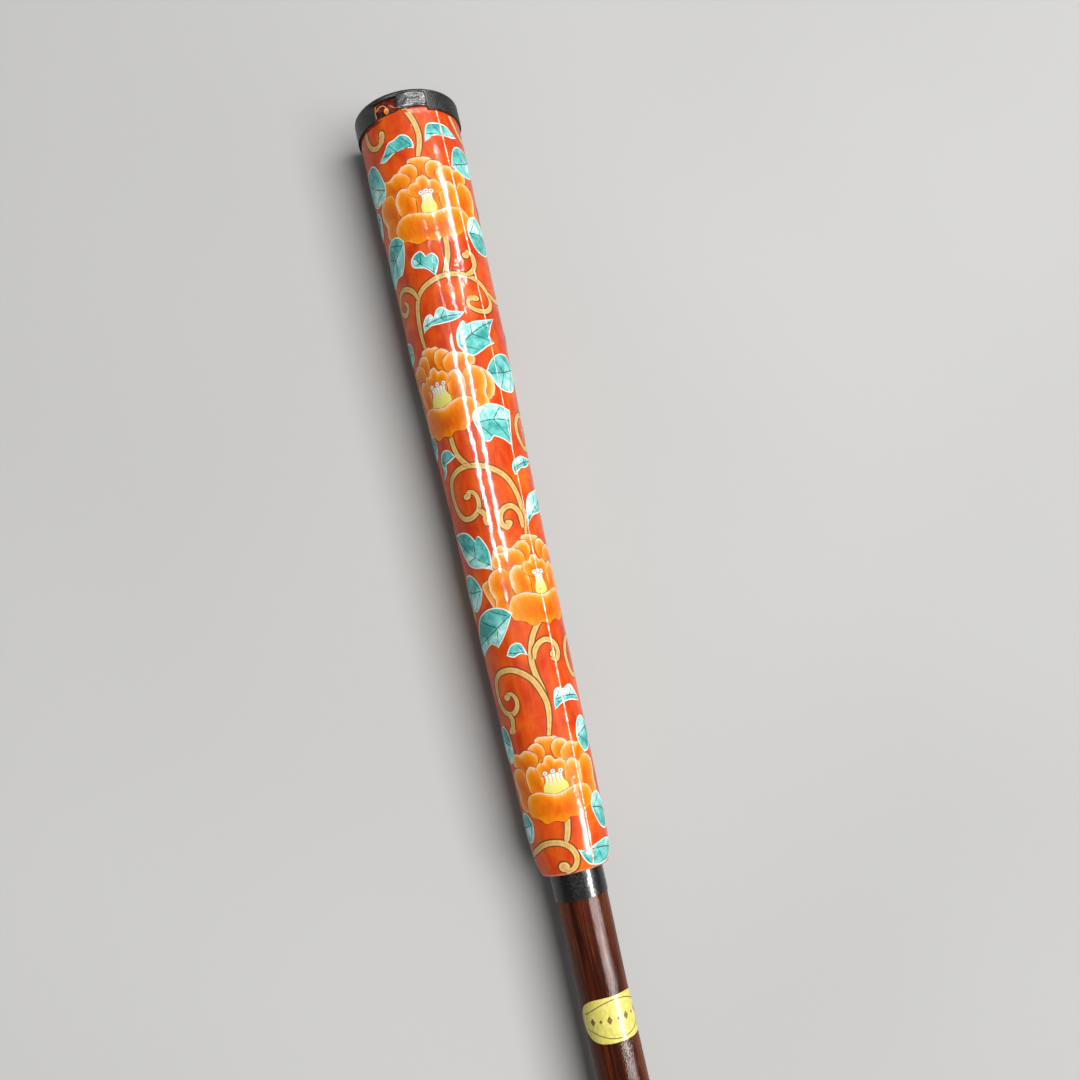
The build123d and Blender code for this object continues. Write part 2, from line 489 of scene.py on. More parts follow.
def cloth_tape():
    g = Graph("grip_tape", Specular_IOR_Level=0.3)
    threads = {"Scale": 900.0, "Distortion": 1.0}
    warp = g.node("ShaderNodeTexWave", {"Vector": g.place(), **threads}, bands_direction="X")
    weft = g.node("ShaderNodeTexWave", {"Vector": g.place(), **threads}, bands_direction="Y")
    weave = g.math("MULTIPLY", warp.outputs["Fac"], weft.outputs["Fac"])
    g.set("Base Color", g.ramp(weave, [(0.0, "#A8946C"), (0.6, "#D8C8A0")]))
    g.set("Roughness", g.span(weave, 0.0, 1.0, 0.7, 0.9))
    g.set("Normal", g.bump(weave, 0.4, 0.0001))
    return g.material


def lacquered_wood():
    g = Graph("rod_wood", Specular_IOR_Level=0.02, Coat_Weight=0.35, Coat_Roughness=0.12)
    broad = g.noise(g.place((7, 110, 110)), 1.0, 2.0, 0.5, 0.4)
    grain = g.noise(g.place((26, 1100, 1100)), 1.0, 5.0, 0.65, 0.3)
    pores = g.noise(g.place((120, 3200, 3200)), 1.0, 2.0, 0.5)
    specks = g.noise(g.place((1, 1.4, 1.4)), 2000, 2.0, 0.6)
    wood = g.ramp(grain, [(0.30, "#1A0602"), (0.46, "#300F05"), (0.6, "#54210A"), (0.75, "#844315")])
    wood = g.mix(g.span(broad, 0.42, 0.68, 0.0, 0.7), wood, linear("#74340F"))
    wood = g.mix(g.span(pores, 0.60, 0.70, 0.0, 0.75), wood, linear("#0E0302"))
    wood = g.mix(g.span(pores, 0.36, 0.28, 0.0, 0.4), wood, linear("#8A4A20"))
    g.set("Base Color", wood)
    g.set("Roughness", g.span(grain, 0.3, 0.7, 0.45, 0.3))
    lumps = g.bump(specks, 0.7, 0.00016, g.bump(grain, 0.15, 0.0002, g.bump(pores, 0.25, 0.00008)))
    g.set("Normal", lumps)
    g.set("Coat Normal", lumps)
    return g.material


def gold_paper():
    g = Graph("label_paper", Specular_IOR_Level=0.25, Coat_Weight=0.12, Coat_Roughness=0.25)
    fibres = g.noise(g.place((500, 900, 900)), 1.0, 4.0, 0.6)
    wear = g.noise(g.place(), 500, 4.0, 0.65)
    gold = g.ramp(fibres, [(0.3, "#C6B850"), (0.55, "#D8CC68"), (0.75, "#E4DC8C")])
    g.set("Base Color", g.mix(g.span(wear, 0.58, 0.72, 0.0, 0.5), gold, linear("#A8863A")))
    g.set("Roughness", g.span(fibres, 0.3, 0.7, 0.32, 0.48))
    g.set("Normal", g.bump(fibres, 0.3, 0.00008))
    return g.material


def label_ink():
    g = Graph("label_ink", Specular_IOR_Level=0.25, Coat_Weight=0.12, Coat_Roughness=0.25)
    fade = g.noise(g.place(), 1500, 3.0, 0.6)
    g.set("Base Color", g.ramp(fade, [(0.35, "#5E4A1C"), (0.7, "#8C7230")]))
    g.set("Roughness", g.span(fade, 0.3, 0.7, 0.35, 0.5))
    g.set("Normal", g.bump(fade, 0.1, 0.00005))
    return g.material


def pale_floor():
    g = Graph("pale_floor", Specular_IOR_Level=0.2)
    slow = g.noise(g.place(), 3.0, 2.0)
    g.set("Base Color", g.ramp(slow, [(0.3, "#A5A4A2"), (0.7, "#AEADAB")]))
    g.set("Roughness", 0.9)
    return g.material


INKS = {
    "ground": film_ground(), "petal": petal_ink(), "stamen": stamen_ink(), "leaf": leaf_ink(),
    "vine": vine_ink(), "seam": seam_highlight_skin(), "under": window_shade_ink(), "rubber": black_rubber(),
    # The tab's greys, lighter than black vinyl, are a painted sheen that stands in for its reflection.
    "tab": black_vinyl("tab_vinyl", (0.28, 0.42), [
        (0.3, "#1C1B1D"), (0.55, "#343234"), (0.78, "#5C5856"),
    ]),
    "collar": black_vinyl("collar_vinyl", (0.25, 0.4), [
        (0.3, "#040405"), (0.6, "#0A0A0B"), (0.8, "#222021"),
    ]),
    "core": core_rubber(), "tape": cloth_tape(),
    "wood": lacquered_wood(), "label": gold_paper(), "label_ink": label_ink(),
}


# ---------------------------------------------------------------- the print's shapes

# How far each kind of motif stands off the grip, and from one overlapping petal to the next
VINE_LIFT, PETAL_LIFT, LEAF_LIFT, LIFT_STEP = 0.02, 0.036, 0.135, 0.0055
KNOB_LIFT = VINE_LIFT - 0.006
VINE_STEP = 0.002
KNOB_WIDER, KNOB_TALLER = 1.3, 1.25

# One peony, drawn in mm with x round the grip and y towards the middle, from the foot of its stamens. The
# petals are listed from the back to the front: outline, then the direction in which its pale rim faces.
BACK_PETAL = [
    (-5.6, -10.6), (-6.4, -12.8), (-5.6, -14.6), (-3.9, -14.9), (-2.9, -16.6), (-0.9, -16.9), (0.9, -16.6),
    (2.9, -16.2), (4.3, -14.7), (6, -14), (6.2, -12.2), (5.2, -10.4), (2, -9), (-2, -9),
]
THROAT_PETAL = [
    (-5, -8), (-2.4, -9.2), (2.4, -9.2), (5, -8), (5, -3), (4.4, 0.9), (0, 1.3), (-4.4, 0.9), (-5, -3),
]
UPPER_PETAL = [
    (-12.6, -8.6), (-13.4, -11), (-11.6, -13.3), (-9.4, -12.9), (-7, -13.9), (-4.4, -12.9), (-3.2, -10.8),
    (-4.4, -7.8), (-8, -6.2), (-11.2, -6.6),
]
OUTER_PETAL = [
    (-9.6, -8.4), (-12.6, -8.9), (-15.2, -7), (-15.6, -3.8), (-14.6, -0.6), (-15, 2.2), (-13.2, 4.6),
    (-10, 4.6), (-8.2, 1.4), (-7.8, -4),
]
INNER_PETAL = [
    (-4.4, -8), (-6.6, -8.9), (-8.7, -7.1), (-9, -4), (-8.2, -0.6), (-5.4, 0.6), (-3.2, -0.8), (-3.2, -5),
]
FRILL_PETAL = [
    (-4.5, -6), (-4.9, -7.8), (-3.8, -9.4), (-2.4, -9.3), (-1.5, -10.9), (0.4, -11.1), (1.5, -9.6),
    (3.2, -9.5), (4.5, -7.9), (4.3, -6), (2, -4.8), (-2.2, -4.8),
]
FRONT_PETAL = [
    (-11.2, 2.8), (-9.8, -0.1), (-6.6, -1.1), (-3, -0.4), (0, 0.3), (3, -0.4), (6.8, -1.1), (10.2, -0.1),
    (11.8, 2.8), (10.9, 5.6), (8.3, 6.5), (5.8, 8.3), (2.7, 7.8), (0.3, 9), (-2.5, 8.2), (-5.3, 8.6),
    (-7.9, 6.7), (-10.4, 5.8),
]
LOBE_PETAL = [
    (-1.4, -10), (-0.9, -12), (-1.1, -14), (-2.6, -15.4), (-4.6, -15.2), (-6.3, -13.8), (-6.8, -11.8),
    (-5.8, -9.8), (-3.6, -9),
]


def mirrored(outline):
    return [(-x, y) for x, y in reversed(outline)]


FLOWER = [
    (BACK_PETAL, (0, -1)), (LOBE_PETAL, (-0.3, -1)), (mirrored(LOBE_PETAL), (0.3, -1)),
    (UPPER_PETAL, (-0.5, -1)), (mirrored(UPPER_PETAL), (0.5, -1)),
    (OUTER_PETAL, (-1, -0.2)), (mirrored(OUTER_PETAL), (1, -0.2)),
    (THROAT_PETAL, (0, -1)), (INNER_PETAL, (-0.5, -1)), (mirrored(INNER_PETAL), (0.5, -1)),
    (FRILL_PETAL, (0, -1)),
]


def petal(sheet, outline, facing, to_print, lift):
    """Fill a petal with rings, paler towards the part of its rim that faces its way."""
    edge = through(outline, closed=True, gap=0.55)
    facing = np.array(facing, float) / np.linalg.norm(facing)
    heart = edge.mean(0) - facing * 0.2 * np.ptp(edge @ facing)
    reach = np.linalg.norm(edge - heart, axis=1)
    toward = (edge - heart) @ facing / reach
    rows, values = [], []
    for share, ring, inset in rings(edge, heart, max(4, int(reach.max() / 0.9))):
        tone = np.clip(0.32 + 0.72 * np.exp(-inset / 1.5) * np.clip(0.45 + 0.65 * toward, 0.12, 1)
                       - 0.34 * share, 0, 1)
        rows.append([(*to_print(x, y), lift) for x, y in ring])
        values.append([(t, i, share, 0) for t, i in zip(tone, inset)])
    sheet.sheet(rows, values, closed=True)


def fan(sheet, width, to_print, lift):
    """The stamens: a bell with a yellow foot and a white top, with a row of pearl loops over it."""
    bell = smooth_line([(0, 0.80), (0.14, 1.0), (0.36, 0.98), (0.62, 0.74), (0.84, 0.66), (1, 0.78)])
    tall, pearl_wide, pearl_tall = 5.4, 0.9, 0.8
    rows, values = [], []
    for t in np.linspace(0, 1, 11):
        half = width * float(np.interp(t, *bell))
        row, row_values = [], []
        for s in np.linspace(-1, 1, 15):
            scallop = 0.3 * abs(math.sin(2.5 * math.pi * s)) * (t == 1)
            y = -tall * t + 0.6 * (1 - s * s) * (1 - t) - scallop
            row.append((*to_print(s * half, y), lift))
            row_values.append((0, min((1 - abs(s)) * half, tall * t + 0.02, 9), t, s))
        rows.append(row)
        values.append(row_values)
    sheet.sheet(rows, values)
    for k, x in enumerate((-0.58, 0.0, 0.58)):
        centre = (x * width, -6.0 - (0.25 if k == 1 else 0))
        rows, values = [], []
        for share in (0, 0.25, 0.5, 0.75, 0.98):
            left = 1 - share
            ring = [(centre[0] + pearl_wide * left * math.cos(a), centre[1] + pearl_tall * left * math.sin(a))
                    for a in np.linspace(0, 2 * math.pi, 16, endpoint=False)]
            rows.append([(*to_print(px, py), lift + LIFT_STEP) for px, py in ring])
            values.append([(0, share * 0.8 if share < 0.5 else 0.6 - share * 0.6, 1.0, 0)] * 16)
        sheet.sheet(rows, values, closed=True)


def flower(angle, reach, wide, tall, fan_width, extra):
    """A peony on the grip, with the foot of its stamens at (angle, reach), over its extra petals."""
    unit = degree_mm(reach)

    def to_print(x, y):
        return angle + x * wide / unit, reach + y * tall

    petals, stamens = Print(), Print()
    for k, (outline, facing) in enumerate(extra):
        drawn = [((a - angle) * unit / wide, (u - reach) / tall) for a, u in outline]
        petal(petals, drawn, facing, to_print, PETAL_LIFT - (2 - k) * LIFT_STEP)
    for k, (outline, facing) in enumerate(FLOWER):
        petal(petals, outline, facing, to_print, PETAL_LIFT + k * LIFT_STEP)
    fan(stamens, fan_width / wide, to_print, PETAL_LIFT + len(FLOWER) * LIFT_STEP)
    petal(petals, FRONT_PETAL, (0, -1), to_print, PETAL_LIFT + (len(FLOWER) + 3) * LIFT_STEP)
    return petals, stamens


def rings(edge, targets, count):
    """Rings that shrink from an edge to its targets, with the distance of each point from the edge."""
    reach = np.linalg.norm(edge - targets, axis=1)
    shares = np.unique(np.concatenate([[0, min(0.4, 0.3 / reach.mean())], np.linspace(0, 1, count + 1)[1:]]))
    return [(share, edge + (targets - edge) * share * 0.995, share * reach) for share in shares]


def leaf(sheet, foot, tip, outline):
    """A leaf with a middle rib from foot to tip. An outline point given twice makes a sharp corner."""
    unit = degree_mm((foot[1] + tip[1]) / 2)
    start, stop = np.array([foot[0] * unit, foot[1]]), np.array([tip[0] * unit, tip[1]])
    length = float(np.linalg.norm(stop - start))
    spine = (stop - start) / length
    normal = np.array([spine[1], -spine[0]])
    edge = through([(a * unit, u) for a, u in outline], closed=True, gap=0.5)
    near = np.clip((edge - start) @ spine, 0.15 * length, 0.82 * length)
    bow = 0.05 * length * np.sin(math.pi * near / length)
    targets = start + near[:, None] * spine + bow[:, None] * normal
    rows, values = [], []
    count = max(4, int(np.linalg.norm(edge - targets, axis=1).max() / 0.8))
    for share, ring, inset in rings(edge, targets, count):
        along = (ring - start) @ spine
        across = (ring - start) @ normal - 0.05 * length * np.sin(math.pi * np.clip(along / length, 0, 1))
        tone = np.clip(0.48 + 0.3 * np.tanh(across) - 0.25 * (along / length - 0.5), 0, 1)
        rows.append([(x / unit, y, LEAF_LIFT) for x, y in ring])
        values.append(list(zip(tone, inset, along, across)))
    sheet.sheet(rows, values, closed=True)


def vine(sheet, points, width=2.4, ends=(0.6, 0.6), lift=VINE_LIFT, knobs=()):
    """A ribbon through points on the grip, narrowed at its ends. It loses its edge lines over a knob."""
    unit = degree_mm(sum(p[1] for p in points) / len(points))
    line = through([(a * unit, u) for a, u in points], gap=0.6)
    along = np.gradient(line, axis=0)
    along /= np.linalg.norm(along, axis=1)[:, None]
    normal = np.stack([along[:, 1], -along[:, 0]], 1)
    n = len(line)
    t = np.linspace(0, 1, n)
    share = np.interp(t, [0, 0.15, 0.85, 1], [ends[0], 1, 1, ends[1]])
    edged = np.ones(n)
    for (a, u), wide, tall in knobs:
        away = np.hypot((line[:, 0] - a * unit) / wide, (line[:, 1] - u) / tall) * 2
        edged = np.minimum(edged, np.clip((away - 0.7) / 0.3, 0.4, 1))
    rows, values = [], []
    for s in np.linspace(-1, 1, 7):
        offset = line + normal * (s * width / 2 * share)[:, None]
        rows.append([(x / unit, y, lift) for x, y in offset])
        values.append([(0.72 - 0.28 * s, (1 - abs(s)) * width / 2, k, s * e) for k, e in zip(t, edged)])
    sheet.sheet(rows, values)


def knob(sheet, at, wide, tall):
    """The rounded end of a scroll, wide and tall in mm."""
    unit = degree_mm(at[1])
    rows, values = [], []
    for share in (0, 0.2, 0.45, 0.7, 0.98):
        left = 1 - share
        ring = [(at[0] + wide / 2 / unit * left * math.cos(a), at[1] + tall / 2 * left * math.sin(a))
                for a in np.linspace(0, 2 * math.pi, 20, endpoint=False)]
        rows.append([(*q, KNOB_LIFT) for q in ring])
        values.append([(0.75, 0, 0, 1 - share * 1.4)] * 20)
    sheet.sheet(rows, values, closed=True)


# Peonies: angle, reach, width and height against the drawing, width of the fan, extra petals on the grip
FLOWERS = [
    (-8, 35.2, 1.18, 1.1, 2.7, []),
    (-47, 96.2, 1.02, 1.14, 4.0, [
        ([
        (-6, 89), (0, 87.6), (8, 87), (16, 88), (22, 90.4), (24, 93.4), (20, 96.4), (12, 98), (2, 98.6),
        (-6, 96),
        ], (1, -0.3)),
    ]),
    (28, 159.2, 1.06, 1.1, 2.4, [
        ([
        (-35, 148.2), (-32, 145.6), (-26, 144.6), (-21, 142.9), (-14, 142.6), (-9, 144.6), (-4, 147),
        (-6, 150.5), (-20, 151), (-30, 150.2),
        ], (-0.4, -1)),
        ([
        (-4, 152), (-10, 149.8), (-20, 149.3), (-32, 150.3), (-43, 152), (-53, 153.2), (-51, 156),
        (-47, 158.4), (-42, 160.8), (-34, 162.2), (-24, 162.4), (-14, 160.5), (-6, 158),
        ], (-1, -0.5)),
    ]),
    (-13, 217.9, 1.0, 1.0, 4.0, []),
]

# Leaves by stretch of the grip: foot and tip of the middle rib, outline
LEAVES = [
    [
        ((-12, 12.8), (-50, 13), [
        (-54, 14.3), (-54, 14.3), (-44, 11.6), (-38, 9.6), (-30, 9.2), (-22, 8.3), (-14, 9.4), (-10, 12),
        (-11, 13.8), (-11, 13.8), (-22, 13), (-34, 13.7), (-46, 15),
        ]),
        ((43, 8.8), (8, 9.4), [
        (3, 12), (3, 12), (6, 8), (10, 6), (20, 5.5), (33, 6), (42, 8.2), (47, 9.4), (47, 9.4), (38, 10),
        (25, 9.8), (13, 10.2), (8, 11.4),
        ]),
        ((-57, 23), (-94, 15), [
        (-98, 14), (-98, 14), (-84, 13), (-68, 13), (-60, 15.6), (-55, 20), (-54, 23), (-58, 25.4),
        (-66, 26.2), (-80, 26), (-92, 22),
        ]),
        ((70, 15), (34, 19.4), [
        (29, 20.2), (29, 20.2), (33, 16), (39, 13.2), (47, 12.3), (60, 12.6), (72, 14.6), (72, 18), (62, 22),
        (45, 22.6), (36, 21.4),
        ]),
        ((-78, 30), (-102, 33), [
        (-77, 29), (-84, 27), (-96, 28), (-106, 33), (-106, 33), (-96, 36), (-84, 35), (-78, 32),
        ]),
    ],
    [
        ((36, 42.6), (78, 43), [
        (32.5, 42), (36, 38.6), (44, 36.6), (54, 36.4), (68, 38.6), (84, 43), (84, 43), (72, 47), (58, 49.2),
        (44, 48.8), (36, 46),
        ]),
        ((-51, 42.6), (-86, 48), [
        (-47, 41.6), (-47, 41.6), (-54, 39.4), (-68, 39), (-82, 42), (-94, 48), (-94, 48), (-86, 53.4),
        (-72, 51.6), (-60, 51.4), (-60, 51.4), (-54, 49), (-49, 45.4),
        ]),
        ((-19, 54.6), (-36, 49.2), [
        (-18, 55.9), (-18, 55.9), (-27, 53), (-36, 52), (-42.5, 51), (-43.5, 49), (-38, 47.4), (-29, 46.8),
        (-24, 49), (-24, 49), (-16, 48.5), (-11, 50.6), (-13, 53),
        ]),
        ((-42, 70.4), (0, 69.8), [
        (-47, 72.3), (-47, 72.3), (-46, 69.6), (-40, 67.6), (-34, 67.4), (-31, 68.8), (-31, 68.8),
        (-26, 66.6), (-19, 66.2), (-11, 68), (5, 69), (5, 69), (-2, 70.7), (-12, 71.4), (-26, 71.4),
        (-37, 71.2),
        ]),
        ((-76, 75.6), (-100, 75), [
        (-75, 74), (-82, 72), (-95, 71.6), (-104, 75), (-104, 75), (-94, 79), (-82, 78.6), (-76, 77.4),
        ]),
    ],
    [
        ((-8, 79.6), (38, 72.4), [
        (-11, 79.4), (-9, 75), (0, 71.8), (4, 73.2), (4, 73.2), (12, 72.4), (26, 72), (43, 71.3), (43, 71.3),
        (36, 74), (29, 78), (29, 78), (35, 79.6), (35, 79.6), (24, 80.8), (14, 82.4), (4, 83.4), (-4, 82),
        ]),
        ((62, 87.4), (21, 89.4), [
        (16.5, 88.4), (16.5, 88.4), (24, 85.4), (36, 83.2), (48, 82.6), (60, 83.4), (70, 87), (66, 92),
        (54, 95), (38, 95.2), (28, 93.8), (22, 91.2),
        ]),
        ((-48, 112), (-72, 113), [
        (-46, 112.6), (-46, 112.6), (-54, 110), (-63, 109.4), (-72, 110.6), (-75, 113), (-73, 115.4),
        (-79, 118), (-79, 118), (-68, 116.4), (-64, 113.8), (-64, 113.8), (-55, 113.4),
        ]),
        ((-9, 104.4), (31, 104.6), [
        (-13, 103), (-10, 100.6), (0, 99.4), (10, 98.8), (24, 99.6), (39, 101.4), (39, 101.4), (37, 104.6),
        (34, 108), (31, 113), (31, 113), (22, 111), (15, 110), (8, 109.2), (8, 109.2), (2, 110.6),
        (-4, 110.4), (-9, 107.6),
        ]),
        ((-77, 107), (-98, 107), [
        (-76, 106), (-84, 103), (-94, 103.4), (-103, 107), (-103, 107), (-94, 110.6), (-83, 110.4),
        (-77, 108.4),
        ]),
    ],
    [
        ((26, 120), (62, 117.4), [
        (23.5, 120), (26, 118), (33, 116.8), (42, 116), (54, 116.4), (70, 116.6), (70, 116.6), (56, 119),
        (46, 119.8), (38, 120), (31, 121.2), (26, 122),
        ]),
        ((33, 136), (78, 129.4), [
        (29.5, 137.8), (29.5, 137.8), (32, 132.4), (39, 129), (52, 127.4), (68, 126.6), (86, 127), (86, 127),
        (80, 132), (62, 134), (44, 135), (36, 136.2),
        ]),
        ((-34, 147.6), (-78, 137.4), [
        (-85, 135.6), (-85, 135.6), (-66, 135.6), (-54, 136.8), (-46, 139.4), (-46, 139.4), (-40, 138.2),
        (-33, 141), (-29.5, 144.4), (-31, 149.4), (-31, 149.4), (-44, 148.2), (-58, 147.4), (-68, 145.6),
        (-78, 140.6),
        ]),
        ((-56, 154.6), (-92, 153.4), [
        (-52.5, 154.6), (-52.5, 154.6), (-60, 151), (-72, 148.8), (-86, 149.6), (-99, 154), (-99, 154),
        (-88, 159), (-73, 160.4), (-60, 158.2),
        ]),
    ],
    [
        ((-24, 164.2), (-84, 170.4), [
        (-19, 163.6), (-19, 163.6), (-30, 161.4), (-45, 160.6), (-60, 161.2), (-74, 163.2), (-96, 170),
        (-96, 170), (-86, 174), (-70, 172.2), (-58, 171.2), (-48, 172.6), (-48, 172.6), (-38, 170.4),
        (-28, 167.2),
        ]),
        ((-15, 175.6), (-34, 175), [
        (-39, 175.6), (-39, 175.6), (-32, 173.2), (-24, 172.4), (-16, 173.2), (-11, 176.8), (-11, 176.8),
        (-20, 176), (-30, 176.6),
        ]),
        ((13, 191.4), (52, 191.6), [
        (8.5, 194.4), (8.5, 194.4), (10, 191), (13, 188.8), (20, 188), (27, 188.8), (36, 187.9), (46, 188.6),
        (59, 193.6), (59, 193.6), (46, 193), (34, 192.6), (20, 193),
        ]),
        ((37, 203.4), (66, 201.4), [
        (33, 203.6), (37, 200), (46, 197.8), (58, 198.2), (72, 201.6), (72, 201.6), (66, 206), (53, 208.4),
        (42, 208.2), (36, 206),
        ]),
        ((-68, 202), (-92, 200), [
        (-66, 203), (-69, 198), (-80, 196), (-98, 199), (-98, 199), (-94, 205), (-82, 207.6), (-71, 206.4),
        ]),
    ],
    [
        ((37, 225), (68, 227), [
        (32.5, 224.6), (37, 222), (45, 220.8), (58, 221.4), (76, 226.4), (76, 226.4), (68, 230.8),
        (56, 232.2), (44, 230.8), (37, 227.8),
        ]),
        ((-65, 226), (-90, 227), [
        (-62, 225.6), (-70, 223), (-82, 222.8), (-98, 227), (-98, 227), (-90, 231), (-76, 231.6),
        (-65, 229.4),
        ]),
        ((2, 236.6), (64, 238), [
        (-2, 235.6), (-2, 235.6), (8, 236.8), (18, 235.8), (34, 235), (52, 234.7), (66, 235.6), (74, 237.8),
        (74, 237.8), (60, 240.6), (44, 241.6), (28, 241.5), (14, 240.8), (5, 239),
        ]),
    ],
]

# Vines by stretch: the points of each, and the knobs at scroll ends
VINES = [
    ([
        [(-15, -2), (-10.5, 0.6), (-5.4, 3.8), (-2.4, 7.4), (-2.2, 10.6), (-4.6, 13.8), (-9, 17.4)],
        [(-66, 0), (-68, 4), (-63, 7.6), (-54, 9), (-47, 8.2), (-43.5, 6.2)],
        [(42, 0), (49, 4), (57, 7.4), (66, 8.2), (73, 5.5)],
    ], [((-43.6, 6.2), 2.2, 3.4)]),
    ([
        [(2, 43), (2, 47), (0, 50.4), (-4, 53.6), (-9, 56.8)],
        [
        (-51, 79), (-53, 73), (-51.5, 66.8), (-47, 62), (-38, 59), (-24, 57.2), (-8, 56.3), (8, 56.6),
        (24, 57.8), (37, 60.4), (45, 63.8), (44, 67), (34, 69), (20, 68.7), (12, 67), (13, 65), (20, 64.6),
        ],
        [(17, 57), (27, 55.6), (33, 52.6), (30, 49.8), (23, 49.6)],
        [
        (-45, 61.4), (-50, 58.4), (-59, 56.4), (-70, 56), (-81, 58), (-82, 61.8), (-72, 63.6), (-64, 61.8),
        (-69, 59.6),
        ],
        [(45, 62.6), (54, 63.9), (64, 64.2), (76, 61.8)],
    ], [((22, 64.8), 3.0, 2.0), ((22, 50.4), 2.6, 2.2)]),
    ([
        [(-46, 105), (-46, 109), (-42.5, 112.6), (-36, 115.2), (-28, 117.2)],
        [
        (74, 103.4), (62, 102.2), (51, 104), (46.5, 107.4), (50, 111), (60, 113.4), (71, 112.2), (74, 108.6),
        (66, 107),
        ],
    ], [((66, 107), 2.4, 1.8)]),
    ([
        [
        (-42, 125.8), (-38, 124.3), (-31, 125.6), (-29, 128.4), (-33, 131), (-44, 132.4), (-56, 131.8),
        (-65, 128.6), (-67.5, 124), (-64, 120), (-55, 117.7), (-42, 116.6), (-28, 116.7), (-12, 117.9),
        (3, 120.2), (14, 123), (22, 127.6), (25, 132), (25, 137), (23, 141),
        ],
        [(20, 138.6), (20, 134.4), (13, 131.8), (4, 131.5), (-5, 133.2), (-7, 136), (-2, 137.6), (4, 136.8)],
        [(-33, 130.6), (-27, 131.6), (-23.5, 133.6), (-24, 135.8)],
    ], [((-43, 125.6), 2.6, 2.0), ((2, 136.6), 2.6, 2.2), ((-24, 134.6), 1.8, 2.8)]),
    ([
        [(22, 167), (10, 168.6), (1, 171.4), (-5, 175), (-8, 179), (-6, 183.5), (-1, 188.5), (1, 192)],
        [(-4, 178.4), (0, 175.6), (9, 173.7), (20, 173.4), (31, 175.3), (33, 178), (27, 180), (21, 178.8)],
        [
        (-53, 187.6), (-47, 186.8), (-40, 188.8), (-42, 191.6), (-52, 193), (-64, 192), (-72, 188.8),
        (-72, 184.4), (-65, 181.4), (-53, 180), (-38, 180), (-24, 181.6), (-12, 184.4), (-4, 188.4),
        (0, 192.4), (-2, 196.8), (-8, 202),
        ],
        [(-58, 192.6), (-54, 194.6), (-56, 197), (-61, 198.4)],
        [(73, 173.4), (60, 174.2), (50, 177), (48.5, 181), (54, 184.6), (66, 185.6), (73, 183)],
    ], [((24, 178), 2.4, 2.2), ((-54, 187.8), 2.4, 2.0), ((-61, 198), 1.8, 1.6)]),
    ([
        [(-7, 225), (-9, 228), (-12, 230.4), (-16, 232.6)],
        [
        (-92, 236), (-80, 234.8), (-66, 233.6), (-52, 232.4), (-36, 232), (-20, 232.9), (-9, 235.2),
        (-6, 238), (-12, 240.3), (-22, 241), (-29, 240),
        ],
    ], [((-28, 239.6), 3.4, 3.2)]),
]


def seam_path(reach):
    """Angle of the seam, which wanders a little along the grip."""
    reaches = [0, 30, 60, 100, 125, 155, 180, 205, 225, 242]
    angles = [25, 28, 30, 31, 29.5, 27, 24.8, 22.5, 20.5, 18]
    return float(np.interp(reach, reaches, angles))


def build_print(end):
    """All the motifs of a grip, each group a piece, drawn once on its front and again on its back."""
    for back, turn in enumerate((0, 180)):
        side = "back" if back else "front"
        for k, item in enumerate(FLOWERS):
            petals, stamens = flower(*item)
            petals.lay(f"print_peony_{side}_{k + 1}_{end}", end, INKS["petal"], "printed_film", turn)
            stamens.lay(f"print_stamens_{side}_{k + 1}_{end}", end, INKS["stamen"], "printed_film", turn)
        for k, group in enumerate(LEAVES):
            sheet = Print()
            for item in group:
                leaf(sheet, *item)
            sheet.lay(f"print_leaves_{side}_{k + 1}_{end}", end, INKS["leaf"], "printed_film", turn)
        for k, (lines, knobs) in enumerate(VINES):
            sheet = Print()
            ends = [(at, KNOB_WIDER * wide, KNOB_TALLER * tall) for at, wide, tall in knobs]
            for item in ends:
                knob(sheet, *item)
            for j, line in enumerate(lines):
                vine(sheet, line, lift=VINE_LIFT + VINE_STEP * j, knobs=ends)
            sheet.lay(f"print_vines_{side}_{k + 1}_{end}", end, INKS["vine"], "printed_film", turn)


# ---------------------------------------------------------------- the pieces

def build_sleeve(end):
    """The printed skin of the grip, a smooth tube that is closed at its mouth by a rounded lip."""
    thickness, lip = 0.5, 239
    butt, mouth = GRIP_LINE[0][0], GRIP_LINE[-1][0]
    outside = np.concatenate([np.arange(butt, lip, 1.5), np.linspace(lip, mouth, 16)])
    inside = np.concatenate([np.linspace(butt, 247, 40), [247.9]])
    outer = [(d, grip_radius(d)) for d in outside]
    lining = [(d, grip_radius(d) - thickness) for d in reversed(inside)]
    obj = lathe(f"grip_skin_{end}", end, outer + lining, INKS["ground"])
    return add_piece(obj, "printed_film", f"printed_sleeve_{end}")


